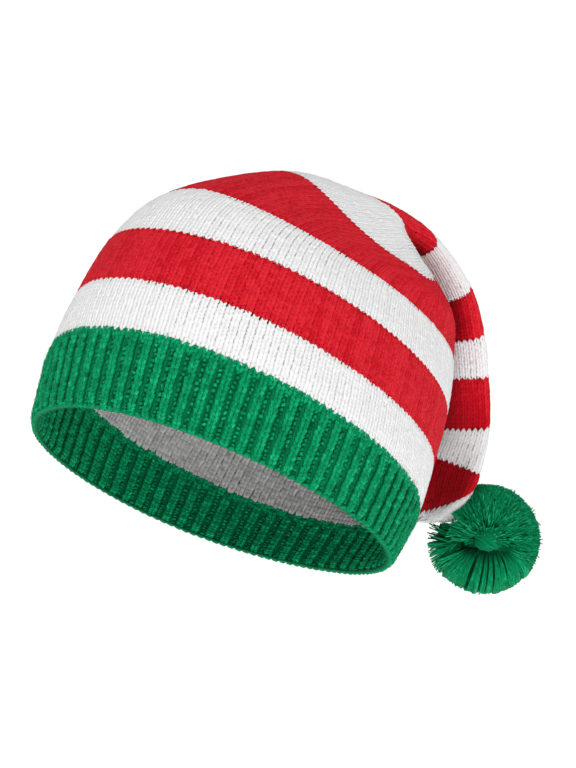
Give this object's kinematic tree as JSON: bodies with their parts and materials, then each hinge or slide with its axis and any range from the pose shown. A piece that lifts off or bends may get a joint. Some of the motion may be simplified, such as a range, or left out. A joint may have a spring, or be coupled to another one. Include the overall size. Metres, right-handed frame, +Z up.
{
  "type": "long tail beanie",
  "caption": "Striped knitted stocking cap with a ribbed cuff, a tail that folds over the crown and hangs at the back, and a yarn pompom on its tip.",
  "frame": {"origin": "centre of the head opening, in the plane of the rim, as worn", "axes": "+Z up as worn, +Y to the back of the head, +X to the wearer's left; the rim is lower at the back and the tail hangs plumb"},
  "size_m": [0.1836, 0.2788, 0.2135],
  "materials": {
    "green_rib": "matte knitted yarn",
    "white_knit": "matte knitted yarn",
    "red_knit": "matte knitted yarn",
    "green_yarn": "cut yarn"
  },
  "bodies": {
    "root": {"rib_cuff": "green_rib", "white_band_1": "white_knit", "red_band_1": "red_knit", "white_band_2": "white_knit", "red_band_2": "red_knit", "white_band_3": "white_knit", "red_band_3": "red_knit", "white_band_4": "white_knit", "red_band_4": "red_knit", "white_band_5": "white_knit", "red_band_5": "red_knit", "white_band_6": "white_knit", "red_band_6": "red_knit", "white_tip": "white_knit", "pompom": "green_yarn"}
  },
  "joints": []
}
